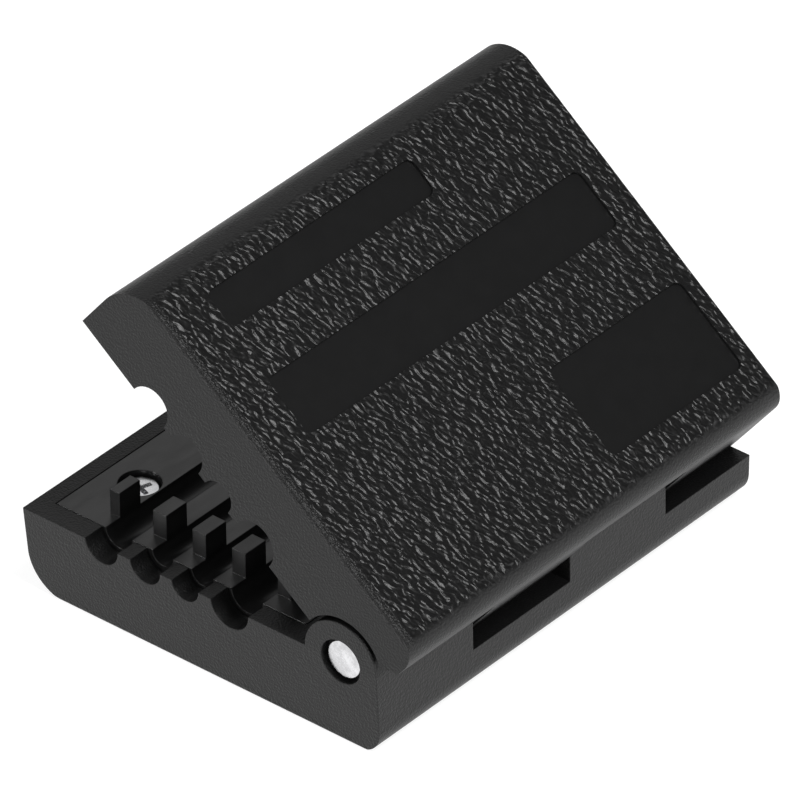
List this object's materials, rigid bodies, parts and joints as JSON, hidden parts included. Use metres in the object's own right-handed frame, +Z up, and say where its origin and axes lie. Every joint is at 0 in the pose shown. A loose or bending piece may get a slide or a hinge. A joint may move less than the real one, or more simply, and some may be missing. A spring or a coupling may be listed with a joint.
{
  "type": "loose tube fibre stripper",
  "caption": "Pocket clamshell stripper that slits the loose tubes of fibre cables: two hinged grooved halves with guide posts, notched ends and slitting blades.",
  "frame": {"origin": "centre of the base's flat underside", "axes": "+X along the hinge line to the end with the base's open pin recess, +Y from the opening edge to the hinge wall, +Z up from the underside; the lid is stored open at its stop"},
  "size_m": [0.05, 0.0432, 0.0357],
  "materials": {
    "shell_plastic": "moulded leather grain outside, fine spark texture on the end faces",
    "block_plastic": "smooth moulded",
    "blade_steel": "ground",
    "screw_steel": "bright",
    "retainer_steel": "rolled strip",
    "pin_steel": "ground",
    "brass": "turned"
  },
  "bodies": {
    "base": {"base_shell": "shell_plastic", "base_guide_block": "block_plastic", "base_blade_1": "blade_steel", "base_blade_2": "blade_steel", "base_blade_3": "blade_steel", "base_blade_4": "blade_steel", "base_blade_retainer": "retainer_steel", "base_retainer_screws": "screw_steel", "base_block_screws": "screw_steel", "base_threaded_inserts": "brass", "hinge_pin": "pin_steel"},
    "lid": {"lid_shell": "shell_plastic", "lid_guide_block": "block_plastic", "lid_blade_1": "blade_steel", "lid_blade_2": "blade_steel", "lid_blade_3": "blade_steel", "lid_blade_4": "blade_steel", "lid_blade_retainer": "retainer_steel", "lid_retainer_screws": "screw_steel", "lid_block_screws": "screw_steel", "lid_threaded_inserts": "brass"}
  },
  "joints": [
    {"name": "lid_hinge", "type": "hinge", "parent": "base", "child": "lid", "pos_m": [0, 0.0159, 0.0083], "axis": [1, 0, 0], "range_deg": [0, 38.7]}
  ]
}
